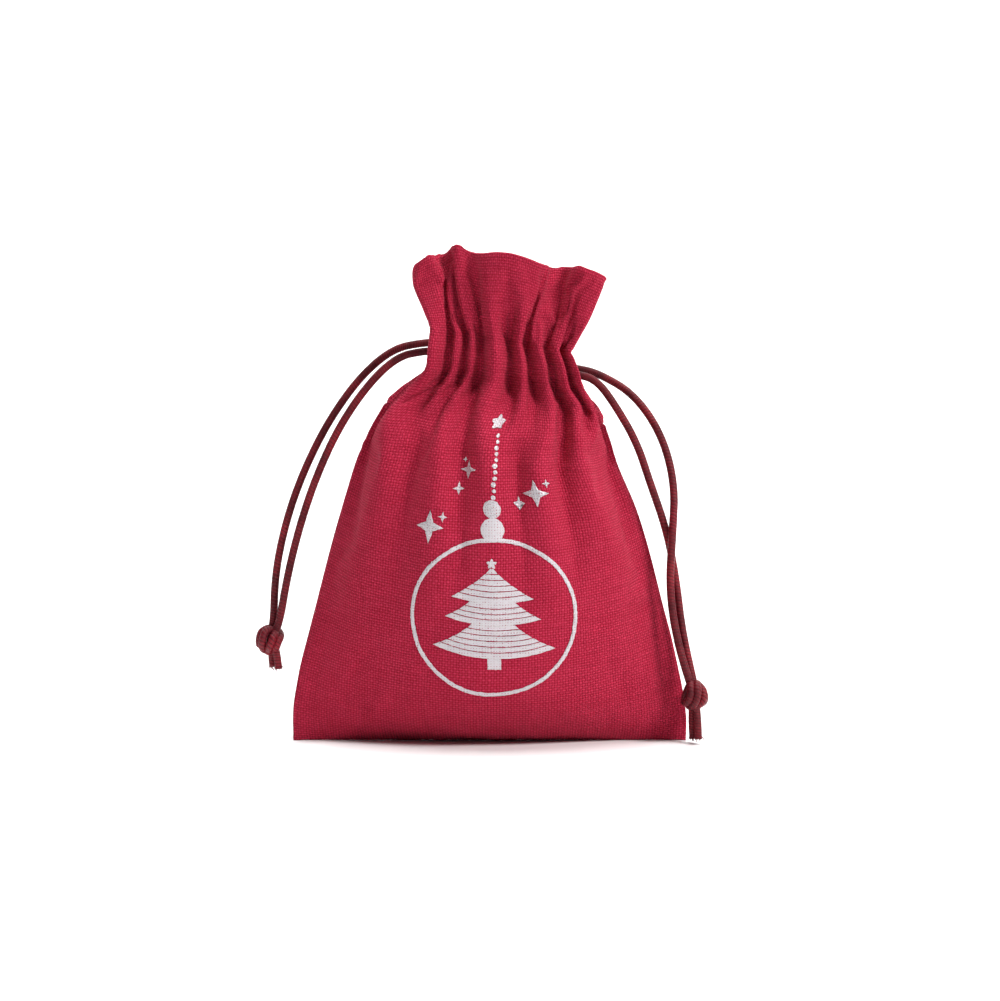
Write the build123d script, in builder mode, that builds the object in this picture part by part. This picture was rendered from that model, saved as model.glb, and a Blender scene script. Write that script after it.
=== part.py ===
from build123d import *

import os
from math import cos, pi, radians, sin, sqrt, tan
from typing import NamedTuple

# Drawstring gift pouch of gathered canvas, standing on its sewn bottom.
# Millimetres, +Z up, the front faces -Y, and the origin is the middle of the base.
# Two sewn panels make the bag, a folded hem makes the cord channel, and above the
# channel each panel ends in a loose frill. Two satin cords run round the channel, one
# leaving it at each side as a pair of strands that end in a knot.

# ---- driving dimensions ------------------------------------------------------------

base_half_width = 49.9  # half of the bag's width just above its bottom corners
belly_half_depth = 21.0  # half of the filled bag's thickness at its fullest
shoulder_height = 85.0  # where the side seams end and the cord slits start
shoulder_half_width = 26.5
cloth = 0.8  # one layer of canvas with its small folds
frill_cloth = 1.6  # the frill is two layers: the panel and its folded hem
seam_gap = 0.5  # half the thickness of a seam, from the middle plane to a panel
seam_allowance = 7.0  # how far the seams' cloth reaches into the bag
overlock_width = 1.2  # the thread that binds an allowance's raw edge
overlock_half_thickness = 0.8

neck_rise = 11.5  # from the shoulder up to the middle of the gathered neck
neck_centre_x = 2.6  # the gathered neck leans to the right
neck_tilt = 9.5  # degrees, right end down
neck_half_width = 18.8
neck_half_depth = 8.3
channel_half_height = 5.0
facing_inner_y = 2.3  # from the middle plane to the facing's inner side
facing_half_width = 13.5  # it stops short of the turns of the cords
thread_width = 0.5
thread_height = 0.3

frill_height = 20.3
frill_gap = 0.3  # clearance between the neck and a frill that folds outwards

cord_radius = 1.0
cord_clearance = 0.1  # between a cord in the channel and the facing
slit_clearance = 0.3  # between a cord and the panel's edge where it leaves the neck
run_end_drop = 0.4  # the upper run lies this much lower than the channel allows
run_turn_inset = 2.0  # from the neck's end to where a run turns back
draw_travel = 8.0  # how far each cord still pulls out
exit_reach = 0.5  # from the neck's end out to the axis that the strands swing about
lead_end_gap = 2.4  # from the swing axis to the end of the cord's lead
strand_start_gap = 0.2  # from the swing axis to the start of the free strand
run_end_gap = 0.4  # from a lead to the run that it continues in the channel
left_exit_offsets = (-1.2, 0.9)  # front and back strand, from the height of the neck's end
right_exit_offsets = (-0.7, 0.7)

knot_radius = 3.4
left_knot_centre = (-55.4, 0.0, 25.6)
left_knot_half_height = 4.0
right_knot_centre = (51.3, -5.6, 12.4)
right_knot_half_height = 4.4
tail_overlap = 2.0  # how far a cut tail reaches up into its knot
left_tail_end = 18.1
right_tail_end = 0.8

# ---- sizes that follow from them ---------------------------------------------------

neck_centre_z = shoulder_height + neck_rise
cord_from_middle = facing_inner_y + cloth + cord_clearance + cord_radius
slit_half_gap = cord_from_middle + cord_radius + slit_clearance
lower_run_height = -(channel_half_height - cloth - cord_radius)
upper_run_height = channel_half_height - cloth - cord_radius - run_end_drop
run_turn_half_width = neck_half_width - run_turn_inset
neck_end_reach = neck_half_width * cos(radians(neck_tilt))
neck_end_drop = neck_half_width * sin(radians(neck_tilt))
left_exit_x = neck_centre_x - neck_end_reach - exit_reach
right_exit_x = neck_centre_x + neck_end_reach + exit_reach
left_exit_heights = [neck_centre_z + neck_end_drop + offset for offset in left_exit_offsets]
right_exit_heights = [neck_centre_z - neck_end_drop + offset for offset in right_exit_offsets]

FRONT = -1
BACK = 1


# ---- sections of the bag -----------------------------------------------------------


class Ring(NamedTuple):
    """One level cut through the pouch: a lens whose two halves lie gap apart."""

    centre_x: float
    centre_z: float
    tilt: float
    half_width: float
    half_depth: float
    gap: float

    def plane(self) -> Plane:
        """The plane of the cut, with X along the pouch's width and Y to its back."""
        lean = radians(self.tilt)
        along = (cos(lean), 0, -sin(lean))
        up = (sin(lean), 0, cos(lean))
        return Plane(origin=(self.centre_x, 0, self.centre_z), x_dir=along, z_dir=up)

    def raised(self, height: float) -> "Ring":
        """The same ring, moved up along its own plane's normal."""
        lean = radians(self.tilt)
        return self._replace(
            centre_x=self.centre_x + height * sin(lean),
            centre_z=self.centre_z + height * cos(lean),
        )

    def half_chord(self, inset: float) -> float:
        """Half the width at the seam plane of the arc that lies inset inside this ring."""
        rise = self.half_depth - self.gap
        bend = (self.half_width**2 + rise**2) / (2 * rise)
        return sqrt((bend - inset) ** 2 - (bend - rise) ** 2)


def wall_section(ring: Ring, side: int, outer: float, inner: float) -> Sketch:
    """The cut through a wall between two insets, on the front or the back side."""
    outer_end = ring.half_chord(outer)
    inner_end = ring.half_chord(inner)
    seam_y = side * ring.gap
    with BuildSketch(ring.plane()) as section:
        with BuildLine():
            ThreePointArc((-outer_end, seam_y), (0, side * (ring.half_depth - outer)), (outer_end, seam_y))
            Line((outer_end, seam_y), (inner_end, seam_y))
            ThreePointArc((inner_end, seam_y), (0, side * (ring.half_depth - inner)), (-inner_end, seam_y))
            Line((-inner_end, seam_y), (-outer_end, seam_y))
        make_face()
    return section.sketch


def lens_half(ring: Ring, side: int, inset: float, flat_y: float) -> Sketch:
    """The area inside a wall, from its inner face to a flat side at flat_y."""
    end = ring.half_chord(inset)
    seam_y = side * ring.gap
    with BuildSketch(ring.plane()) as area:
        with BuildLine():
            ThreePointArc((-end, seam_y), (0, side * (ring.half_depth - inset)), (end, seam_y))
            Line((end, seam_y), (-end, seam_y))
        make_face()
        if flat_y < ring.gap:
            with Locations((0, side * (ring.gap + flat_y) / 2)):
                Rectangle(2 * end, ring.gap - flat_y)
    return area.sketch


# Height, half width and half depth of the filled bag, as shares of the shoulder's height,
# the base's half width and the belly's half depth. The base is a little narrower and the
# bag is fullest just under the middle.
body_shape = [
    (0.000, 0.974, 0.46),
    (0.030, 0.998, 0.64),
    (seam_allowance / shoulder_height, 1.000, 0.76),
    (0.190, 0.972, 0.90),
    (0.330, 0.918, 0.99),
    (0.490, 0.848, 1.00),
    (0.660, 0.766, 0.94),
    (0.800, 0.682, 0.83),
    (0.915, 0.602, 0.68),
]
body_rings = [
    Ring(0, share_up * shoulder_height, 0, wide * base_half_width, deep * belly_half_depth, seam_gap)
    for share_up, wide, deep in body_shape
]
shoulder_ring = Ring(0, shoulder_height, 0, shoulder_half_width, 0.55 * belly_half_depth, seam_gap)
neck_middle = Ring(neck_centre_x, neck_centre_z, neck_tilt, neck_half_width, neck_half_depth, slit_half_gap)
neck_bottom = neck_middle.raised(-channel_half_height)
neck_top = neck_middle.raised(channel_half_height)
panel_rings = body_rings + [shoulder_ring, neck_bottom, neck_top]

frill_bottom = neck_top.raised(frill_gap)

# Share of the frill's height, how much wider than the neck each half is, half depth, gap
# between the frills at their sides, and tilt. The frills flare and close towards the top.
frill_shape = [
    (0.33, 2.7, 9.5, 4.5, 8.5),
    (0.65, 5.2, 11.5, 3.0, 7.0),
    (1.00, 5.8, 13.0, 1.5, 5.0),
]
frill_lean = 2.0  # the frill's middle lies this much further right than the neck's
frill_rings = [frill_bottom] + [
    Ring(
        neck_centre_x + frill_lean,
        frill_bottom.centre_z + share_up * frill_height,
        tilt,
        neck_half_width + wider,
        half_depth,
        gap,
    )
    for share_up, wider, half_depth, gap, tilt in frill_shape
]

os.makedirs("parts", exist_ok=True)


def save(piece: Part, name: str) -> None:
    """Label a finished piece and write it as its own file."""
    piece.label = name
    export_step(piece, f"parts/{name}.step")


# ---- cloth panels ------------------------------------------------------------------

for side, side_name in ((FRONT, "front"), (BACK, "back")):
    panel_sections = [wall_section(ring, side, 0, cloth) for ring in panel_rings]
    base_area = lens_half(body_rings[0], side, cloth / 2, seam_gap)
    with BuildPart() as panel:
        loft(panel_sections, ruled=True)
        extrude(base_area, amount=cloth)
    save(panel.part, f"{side_name}_panel")

    # The hem's inner layer stands behind the neck and closes the cord channel.
    channel_area = lens_half(neck_bottom, side, cloth, facing_inner_y)
    hollow_area = lens_half(neck_bottom.raised(cloth), side, cloth, facing_inner_y + cloth)
    with BuildPart() as facing:
        extrude(channel_area, amount=2 * channel_half_height)
        extrude(hollow_area, amount=2 * (channel_half_height - cloth), mode=Mode.SUBTRACT)
        with BuildSketch(neck_bottom.plane()):
            Rectangle(2 * facing_half_width, 2 * neck_half_depth)
        extrude(amount=2 * channel_half_height, mode=Mode.INTERSECT)
    save(facing.part, f"{side_name}_hem_facing")

    for row, row_ring in (("lower", neck_bottom), ("upper", neck_top.raised(-thread_width))):
        thread_band = wall_section(row_ring, side, -thread_height, 0)
        with BuildPart() as stitching:
            extrude(thread_band, amount=thread_width)
        save(stitching.part, f"{side_name}_{row}_stitching")

    frill_sections = [wall_section(ring, side, 0, frill_cloth) for ring in frill_rings]
    with BuildPart() as frill:
        loft(frill_sections, ruled=True)
    save(frill.part, f"{side_name}_frill")


# ---- seams, turned to the inside ---------------------------------------------------


def edge_points(rings: list[Ring], reach: float) -> list[tuple[float, float]]:
    """Points of the bag's right edge, moved inwards by reach, from low to high."""
    return [(ring.half_width - reach, ring.centre_z) for ring in rings]


low_rings = body_rings[:3]
high_rings = body_rings[2:] + [shoulder_ring]

with BuildPart() as bottom_seam:
    right_edge = edge_points(low_rings, 0)
    left_edge = [(-x, z) for x, z in reversed(right_edge)]
    with BuildSketch(Plane.XZ):
        Polygon(*right_edge, *left_edge, align=None)
    extrude(amount=seam_gap, both=True)
save(bottom_seam.part, "bottom_seam")

overlock_inset = seam_allowance + overlock_width
with BuildPart() as bottom_overlock:
    with BuildSketch(Plane.XZ):
        with Locations((0, seam_allowance + overlock_width / 2)):
            Rectangle(2 * (base_half_width - overlock_inset) - 4, overlock_width)
    extrude(amount=overlock_half_thickness, both=True)
save(bottom_overlock.part, "bottom_overlock")

for hand, hand_name in ((-1, "left"), (1, "right")):
    outer_edge = edge_points(high_rings, 0)
    seam_edge = edge_points(high_rings, seam_allowance)
    bound_edge = edge_points(high_rings, overlock_inset)
    with BuildPart() as side_seam:
        with BuildSketch(Plane.XZ):
            Polygon(*[(hand * x, z) for x, z in outer_edge + seam_edge[::-1]], align=None)
        extrude(amount=seam_gap, both=True)
    save(side_seam.part, f"{hand_name}_seam")

    with BuildPart() as side_overlock:
        with BuildSketch(Plane.XZ):
            Polygon(*[(hand * x, z) for x, z in seam_edge[1:] + bound_edge[:0:-1]], align=None)
        extrude(amount=overlock_half_thickness, both=True)
    save(side_overlock.part, f"{hand_name}_overlock")


# ---- cords -------------------------------------------------------------------------


def corner_radii(points: list[tuple[float, float, float]]) -> list[float]:
    """As large an arc at each corner of a route as its two runs allow."""
    radii = []
    for before, corner, after in zip(points, points[1:], points[2:]):
        run_in = Vector(*corner) - Vector(*before)
        run_out = Vector(*after) - Vector(*corner)
        half_turn = radians(run_in.get_angle(run_out) / 2)
        radii.append(0.45 * min(run_in.length, run_out.length) / tan(half_turn))
    return radii


def cord_tube(points: list[tuple[float, float, float]], name: str) -> Part:
    """A round cord swept along straight runs and the arcs that join them."""
    radii = corner_radii(points)
    with BuildPart() as tube:
        with BuildLine() as route:
            FilletPolyline(*points, radius=radii)
        with BuildSketch(Plane(origin=route.line @ 0, z_dir=route.line % 0)):
            Circle(cord_radius)
        sweep()
    length = sum(edge.length for edge in route.line.edges())
    expected = length * pi * cord_radius**2
    print(f"{name}: {length:.1f} mm long, radii {[round(radius, 1) for radius in radii]}")
    print(f"    volume {tube.part.volume:.1f}, section times length {expected:.1f}")
    return tube.part


# Routes of the free strands, from where each leaves its slit down into its knot.
left_front_route = [
    (left_exit_x - strand_start_gap, -cord_from_middle, left_exit_heights[0]),
    (-23.0, -4.0, 97.0),
    (-30.2, -3.5, 90.3),
    (-37.6, -2.8, 79.6),
    (-43.3, -2.2, 67.4),
    (-47.6, -1.7, 55.0),
    (-51.0, -1.2, 41.6),
    (-53.3, -0.9, 28.2),
]
left_back_route = [
    (left_exit_x - strand_start_gap, cord_from_middle, left_exit_heights[1]),
    (-24.4, 3.9, 99.0),
    (-32.6, 3.2, 92.0),
    (-40.3, 2.5, 81.3),
    (-46.3, 1.9, 69.6),
    (-50.9, 1.4, 57.4),
    (-54.2, 1.0, 43.0),
    (-54.7, 0.9, 28.5),
]
right_front_route = [
    (right_exit_x + strand_start_gap, -cord_from_middle, right_exit_heights[0]),
    (26.6, -4.3, 91.2),
    (30.9, -4.3, 85.6),
    (36.7, -4.1, 75.8),
    (40.1, -3.5, 65.6),
    (44.4, -2.7, 53.6),
    (46.8, -2.8, 41.2),
    (48.3, -3.4, 28.4),
    (51.1, -4.5, 15.8),
]
right_back_route = [
    (right_exit_x + strand_start_gap, cord_from_middle, right_exit_heights[1]),
    (27.8, 3.8, 92.6),
    (36.4, 2.6, 87.5),
    (43.2, 0.0, 77.6),
    (46.4, -3.0, 65.2),
    (45.7, -5.0, 52.6),
    (44.9, -5.2, 40.2),
    (46.5, -5.6, 27.7),
    (50.0, -6.3, 15.6),
]
free_routes = {
    "left_front_strand": left_front_route,
    "left_back_strand": left_back_route,
    "right_front_strand": right_front_route,
    "right_back_strand": right_back_route,
}
for strand_name, route_points in free_routes.items():
    save(cord_tube(route_points, strand_name), strand_name)

# The leads are the straight ends of each cord inside the channel, which slide out.
exits = (
    ("left", 1, left_exit_x, left_exit_heights),
    ("right", -1, right_exit_x, right_exit_heights),
)
for hand_name, inwards, exit_x, heights in exits:
    for side, side_name, height in ((FRONT, "front", heights[0]), (BACK, "back", heights[1])):
        lead_x = exit_x + inwards * (lead_end_gap + draw_travel / 2)
        with BuildPart() as lead:
            with BuildSketch(Plane.YZ.offset(lead_x)):
                with Locations((side * cord_from_middle, height)):
                    Circle(cord_radius)
            extrude(amount=draw_travel / 2, both=True)
        save(lead.part, f"{hand_name}_{side_name}_lead")


def in_neck(along: float, across: float, height: float) -> tuple[float, float, float]:
    """A point given in the tilted neck's own directions, in the pouch's frame."""
    return tuple(neck_middle.plane().from_local_coords(Vector(along, across, height)))


def run_route(inwards: int, exit_x: float, heights: tuple[float, float], level: float) -> list:
    """One cord's route in the channel: along the front, round the far end, along the back."""
    start_x = exit_x + inwards * (lead_end_gap + draw_travel + run_end_gap)
    far = inwards * run_turn_half_width
    near_y = cord_from_middle + 0.3
    return [
        (start_x, -cord_from_middle, heights[0]),
        in_neck(-inwards * 2.0, -near_y, level * 0.6),
        in_neck(inwards * 6.5, -near_y, level),
        in_neck(far, -cord_from_middle, level),
        in_neck(far, cord_from_middle, level),
        in_neck(inwards * 6.5, near_y, level),
        in_neck(-inwards * 2.0, near_y, level * 0.9),
        (start_x, cord_from_middle, heights[1]),
    ]


run_levels = {"left": upper_run_height, "right": lower_run_height}
for hand_name, inwards, exit_x, heights in exits:
    run_points = run_route(inwards, exit_x, heights, run_levels[hand_name])
    save(cord_tube(run_points, f"{hand_name}_cord_run"), f"{hand_name}_cord_run")

# Knots as plain rounded bodies, with the two cut ends of each cord below.
knots = {
    "left": (left_knot_centre, left_knot_half_height, left_tail_end, ((-53.3, -0.8), (-55.1, 0.8))),
    "right": (right_knot_centre, right_knot_half_height, right_tail_end, ((52.3, -6.5), (51.4, -4.6))),
}
for hand_name, (centre, half_height, tail_end, tail_places) in knots.items():
    with BuildPart() as knot:
        with BuildSketch(Plane(origin=centre, x_dir=(1, 0, 0), z_dir=(0, -1, 0))):
            Ellipse(knot_radius, half_height)
            with Locations((-knot_radius / 2, 0)):
                Rectangle(knot_radius, 2 * half_height, mode=Mode.SUBTRACT)
        revolve(axis=Axis(centre, (0, 0, 1)))
    save(knot.part, f"{hand_name}_knot")

    tail_top = centre[2] - half_height + tail_overlap
    for side_name, (tail_x, tail_y) in zip(("front", "back"), tail_places):
        with BuildPart() as tail:
            with BuildSketch(Plane.XY.offset(tail_end)):
                with Locations((tail_x, tail_y)):
                    Circle(cord_radius)
            extrude(amount=tail_top - tail_end)
        save(tail.part, f"{hand_name}_{side_name}_tail")
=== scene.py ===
import logging
import math
from dataclasses import dataclass, field
from enum import Enum

import bmesh
import bpy
import numpy as np
from mathutils import Matrix, Vector, noise


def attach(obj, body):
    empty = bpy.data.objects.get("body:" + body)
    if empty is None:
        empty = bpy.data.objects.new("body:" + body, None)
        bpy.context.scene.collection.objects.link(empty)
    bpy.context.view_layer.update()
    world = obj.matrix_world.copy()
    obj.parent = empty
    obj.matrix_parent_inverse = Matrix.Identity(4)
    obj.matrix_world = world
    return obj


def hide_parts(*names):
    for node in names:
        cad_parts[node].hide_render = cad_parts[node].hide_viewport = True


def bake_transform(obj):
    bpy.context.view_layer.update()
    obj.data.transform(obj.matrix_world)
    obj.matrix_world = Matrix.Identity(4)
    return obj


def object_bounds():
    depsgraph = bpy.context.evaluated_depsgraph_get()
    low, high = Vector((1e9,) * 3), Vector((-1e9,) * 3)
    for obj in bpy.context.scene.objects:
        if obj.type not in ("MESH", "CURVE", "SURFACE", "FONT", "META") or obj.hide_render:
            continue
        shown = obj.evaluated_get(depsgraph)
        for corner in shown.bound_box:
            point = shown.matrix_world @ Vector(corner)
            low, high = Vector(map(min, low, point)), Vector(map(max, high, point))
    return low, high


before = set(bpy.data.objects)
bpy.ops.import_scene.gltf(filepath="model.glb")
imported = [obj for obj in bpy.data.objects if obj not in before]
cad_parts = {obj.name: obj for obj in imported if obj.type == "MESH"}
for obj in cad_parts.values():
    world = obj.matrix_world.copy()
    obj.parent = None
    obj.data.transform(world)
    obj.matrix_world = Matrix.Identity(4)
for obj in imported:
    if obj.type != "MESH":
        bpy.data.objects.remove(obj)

log = logging.getLogger("gift_pouch")
CAD_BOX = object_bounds()
MM = 0.001
Point = tuple[float, float, float]


# Small tools


def smooth_between(at: np.ndarray, knots: list[float], values: list) -> np.ndarray:
    """Smooth curve through given values.

    Args:
        at: Places where the curve is wanted.
        knots: Rising places of the values.
        values: One number or one point for each knot.

    Returns:
        The curve's values, one for each place.
    """
    at, knots, values = np.atleast_1d(at), np.asarray(knots, float), np.asarray(values, float)
    slopes = np.gradient(values, knots, axis=0)
    piece = np.clip(np.searchsorted(knots, at, side="right") - 1, 0, len(knots) - 2)
    width = knots[piece + 1] - knots[piece]
    share = (at - knots[piece]) / width
    if values.ndim == 2:
        share, width = share[:, None], width[:, None]
    squared, cubed = share**2, share**3
    return (
        (2 * cubed - 3 * squared + 1) * values[piece]
        + (cubed - 2 * squared + share) * width * slopes[piece]
        + (3 * squared - 2 * cubed) * values[piece + 1]
        + (cubed - squared) * width * slopes[piece + 1]
    )


def ease(at: float, start: float, end: float) -> float:
    """Smooth step from 0 at start to 1 at end."""
    share = min(1.0, max(0.0, (at - start) / (end - start)))
    return share * share * (3 - 2 * share)


def walk(line: np.ndarray) -> np.ndarray:
    """Distance along a line of points, from 0 at its start."""
    steps = np.linalg.norm(np.diff(line, axis=0), axis=1)
    return np.concatenate([[0.0], np.cumsum(steps)])


def even_steps(line: np.ndarray, count: int) -> np.ndarray:
    """The same line with count points at even distances.

    Args:
        line: Points along the line.
        count: How many points are wanted.

    Returns:
        The points, from the same start to the same end.
    """
    distance = walk(line)
    wanted = np.linspace(0, distance[-1], count)
    return np.stack([np.interp(wanted, distance, line[:, axis]) for axis in range(3)], axis=1)


def piece_from(mesh_or_curve: bpy.types.ID, name: str, finish: bpy.types.Material) -> bpy.types.Object:
    """Put mesh or curve data in the scene as one named piece with one finish.

    Args:
        mesh_or_curve: The piece's shape.
        name: The piece's name.
        finish: The material.

    Returns:
        The piece's object.
    """
    mesh_or_curve.materials.clear()
    mesh_or_curve.materials.append(finish)
    made = bpy.data.objects.new(name, mesh_or_curve)
    bpy.context.scene.collection.objects.link(made)
    return made


def mesh_from(form: bmesh.types.BMesh, name: str) -> bpy.types.Mesh:
    """Turn a finished bmesh into mesh data and let the bmesh go.

    Args:
        form: The finished bmesh.
        name: Name of the mesh data.

    Returns:
        The mesh data, smooth shaded.
    """
    mesh = bpy.data.meshes.new(name)
    form.to_mesh(mesh)
    form.free()
    mesh.polygons.foreach_set("use_smooth", [True] * len(mesh.polygons))
    return mesh


def spline_data(points: list[Point], radius: float, name: str, sides: int = 16) -> bpy.types.Curve:
    """A smooth round cord through control points.

    Args:
        points: The route's control points, in metres.
        radius: The cord's radius, or 0 for the bare line.
        name: Name of the curve data.
        sides: Flat sides around the cord.

    Returns:
        Curve data with one open NURBS spline.
    """
    curve = bpy.data.curves.new(name, "CURVE")
    curve.dimensions = "3D"
    curve.resolution_u = 10
    spline = curve.splines.new("NURBS")
    spline.points.add(len(points) - 1)
    for control, place in zip(spline.points, points):
        control.co = (*place, 1.0)
    spline.order_u = 3
    spline.use_endpoint_u = True
    curve.bevel_depth = radius
    curve.bevel_resolution = sides // 4 - 1
    curve.use_fill_caps = True
    return curve


def mesh_of(curve: bpy.types.Curve) -> bpy.types.Mesh:
    """The mesh that a curve makes.

    Args:
        curve: The curve data.

    Returns:
        Its mesh data.
    """
    holder = bpy.data.objects.new(curve.name, curve)
    bpy.context.scene.collection.objects.link(holder)
    graph = bpy.context.evaluated_depsgraph_get()
    mesh = bpy.data.meshes.new_from_object(holder.evaluated_get(graph), depsgraph=graph)
    bpy.data.objects.remove(holder)
    return mesh


def line_of(points: list[Point]) -> np.ndarray:
    """Points along the smooth line that a route's control points steer.

    Args:
        points: The route's control points.

    Returns:
        Points along the line.
    """
    mesh = mesh_of(spline_data(points, 0.0, "line"))
    line = np.array([vertex.co[:] for vertex in mesh.vertices])
    bpy.data.meshes.remove(mesh)
    return line


def tube_mesh(points: list[Point], radius: float, name: str, sides: int = 16) -> bpy.types.Mesh:
    """A round tube whose UV map is distance along in centimetres, and turns around.

    Args:
        points: The route's control points, in metres.
        radius: The tube's radius, in metres.
        name: Name of the mesh data.
        sides: Flat sides around the tube.

    Returns:
        The mesh data.
    """
    mesh = mesh_of(spline_data(points, radius, name, sides))
    mesh.name = name
    length = walk(line_of(points))[-1]
    layer = mesh.uv_layers[0]
    values = np.zeros(2 * len(layer.data))
    layer.data.foreach_get("uv", values)
    values[0::2] *= length * 100
    layer.data.foreach_set("uv", values)
    mesh.polygons.foreach_set("use_smooth", [True] * len(mesh.polygons))
    form = bmesh.new()
    form.from_mesh(mesh)
    bmesh.ops.remove_doubles(form, verts=form.verts, dist=1e-6)
    form.to_mesh(mesh)
    form.free()
    return mesh


# Finishes


class Wiring:
    """Short way to lay out a material's nodes."""

    def __init__(self, name: str) -> None:
        """Start a material with its Principled shader.

        Args:
            name: The material's name.
        """
        self.material = bpy.data.materials.new(name)
        self.material.use_nodes = True
        self.tree = self.material.node_tree
        self.shader = self.tree.nodes["Principled BSDF"]

    def add(self, kind: str, **settings: object) -> bpy.types.Node:
        """Add one node and set its own settings.

        Args:
            kind: The node's type.
            settings: The node's settings, by name.

        Returns:
            The node.
        """
        node = self.tree.nodes.new(f"ShaderNode{kind}")
        for key, value in settings.items():
            setattr(node, key, value)
        return node

    def feed(self, target: bpy.types.NodeSocket, value: object) -> None:
        """Link a socket to an input, or set the input to a constant.

        Args:
            target: The input.
            value: A socket or a constant.
        """
        if isinstance(value, bpy.types.NodeSocket):
            self.tree.links.new(value, target)
        else:
            target.default_value = value

    def math(self, operation: str, *values: object) -> bpy.types.NodeSocket:
        """One arithmetic step on sockets or numbers.

        Args:
            operation: The step's name.
            values: Sockets or numbers.

        Returns:
            The result.
        """
        node = self.add("Math", operation=operation)
        for target, value in zip(node.inputs, values):
            self.feed(target, value)
        return node.outputs[0]

    def uv(self) -> tuple[bpy.types.NodeSocket, bpy.types.NodeSocket]:
        """The piece's own UV map as two sockets.

        Returns:
            The socket across and the socket along.
        """
        split = self.add("SeparateXYZ")
        self.tree.links.new(self.add("TexCoord").outputs["UV"], split.inputs[0])
        return split.outputs[0], split.outputs[1]

    def join(self, first: object, second: object, third: object = 0.0) -> bpy.types.NodeSocket:
        """Three numbers as one vector.

        Args:
            first: X.
            second: Y.
            third: Z.

        Returns:
            The vector.
        """
        node = self.add("CombineXYZ")
        for target, value in zip(node.inputs, (first, second, third)):
            self.feed(target, value)
        return node.outputs[0]

    def noise(self, place: bpy.types.NodeSocket, scale: float, detail: float = 2.0) -> bpy.types.NodeSocket:
        """Noise between 0 and 1 over a place.

        Args:
            place: Where the noise is read.
            scale: Its fineness.
            detail: How many finer layers it has.

        Returns:
            The noise.
        """
        node = self.add("TexNoise")
        node.inputs["Scale"].default_value = scale
        node.inputs["Detail"].default_value = detail
        self.tree.links.new(place, node.inputs["Vector"])
        return node.outputs["Fac"]

    def wander(self, place: bpy.types.NodeSocket, scale: float, span: float) -> bpy.types.NodeSocket:
        """Noise about 0, with a whole range of span."""
        return self.math("MULTIPLY", self.math("SUBTRACT", self.noise(place, scale), 0.5), span)

    def object_place(self) -> bpy.types.NodeSocket:
        """Object coordinates, in metres."""
        return self.add("TexCoord").outputs["Object"]

    def remap(
        self, value: object, low: float, high: float, to_low: float = 0.0, to_high: float = 1.0
    ) -> bpy.types.NodeSocket:
        """Stretch a value from one range to another, held at the ends.

        Args:
            value: The value.
            low: Start of its range.
            high: End of its range.
            to_low: Start of the new range.
            to_high: End of the new range.

        Returns:
            The stretched value.
        """
        node = self.add("MapRange")
        for target, number in zip(node.inputs, (value, low, high, to_low, to_high)):
            self.feed(target, number)
        return node.outputs[0]

    def mix(self, share: object, first: object, second: object, blend: str = "MIX") -> bpy.types.NodeSocket:
        """Blend two colours.

        Args:
            share: Share of the second colour.
            first: The first colour.
            second: The second colour.
            blend: How they blend.

        Returns:
            The colour.
        """
        node = self.add("Mix", data_type="RGBA", blend_type=blend)
        self.feed(node.inputs["Factor"], share)
        self.feed(node.inputs[6], first)
        self.feed(node.inputs[7], second)
        return node.outputs[2]

    def bump(
        self, height: bpy.types.NodeSocket, depth: float, strength: float = 1.0, under: object = None
    ) -> bpy.types.NodeSocket:
        """Turn a height between 0 and 1 into a surface relief of a depth in metres.

        Args:
            height: The height.
            depth: The relief's depth, in metres.
            strength: Share of the relief that shows.
            under: A relief that this one lies on.

        Returns:
            The surface direction.
        """
        node = self.add("Bump")
        node.inputs["Distance"].default_value = depth
        node.inputs["Strength"].default_value = strength
        self.feed(node.inputs["Height"], height)
        if under is not None:
            self.feed(node.inputs["Normal"], under)
        return node.outputs[0]


Colour = tuple[float, float, float, float]
UV_SPAN = 0.16  # metres of flat cloth in one unit of a cloth piece's UV map


@dataclass(frozen=True)
class Weave:
    """Plain over-and-under weave of single yarns, drawn in flat cloth coordinates."""

    pitch: float = 0.70 * MM
    waver: float = 0.36  # how far a yarn wanders, in yarn widths

    def height(self, wiring: Wiring) -> tuple[bpy.types.NodeSocket, bpy.types.NodeSocket]:
        """Height of the nearest yarn, from 0 in a gap to 1 on a crown, and that of the weft alone.

        Args:
            wiring: The material it is drawn in.

        Returns:
            The height of the nearest yarn, and that of the weft.
        """
        across, along = wiring.uv()
        flat = wiring.join(across, along)
        turns = math.pi * UV_SPAN / self.pitch
        stretched = wiring.join(wiring.math("MULTIPLY", across, 0.12), along)
        tall = wiring.join(across, wiring.math("MULTIPLY", along, 0.12))
        drift = wiring.wander(stretched, 260, 6 * self.waver)
        sway = wiring.wander(tall, 260, 6 * self.waver)
        jitter = wiring.wander(flat, 420, 2 * self.waver)
        warp_turn = wiring.math("MULTIPLY", across, turns)
        warp_turn = wiring.math("ADD", warp_turn, wiring.math("ADD", sway, jitter))
        weft_turn = wiring.math("MULTIPLY", along, turns)
        weft_turn = wiring.math("ADD", weft_turn, wiring.math("SUBTRACT", drift, jitter))
        warp, weft = wiring.math("SINE", warp_turn), wiring.math("SINE", weft_turn)
        crossing = wiring.math("MULTIPLY", wiring.math("MULTIPLY", warp, weft), 0.5)
        warp_body = wiring.math("MULTIPLY", wiring.math("ABSOLUTE", warp), 0.5)
        weft_body = wiring.math("MULTIPLY", wiring.math("ABSOLUTE", weft), 0.5)
        warp_top = wiring.math("ADD", warp_body, crossing)
        weft_top = wiring.math("SUBTRACT", weft_body, crossing)
        return wiring.math("MAXIMUM", warp_top, weft_top), weft_top


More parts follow.
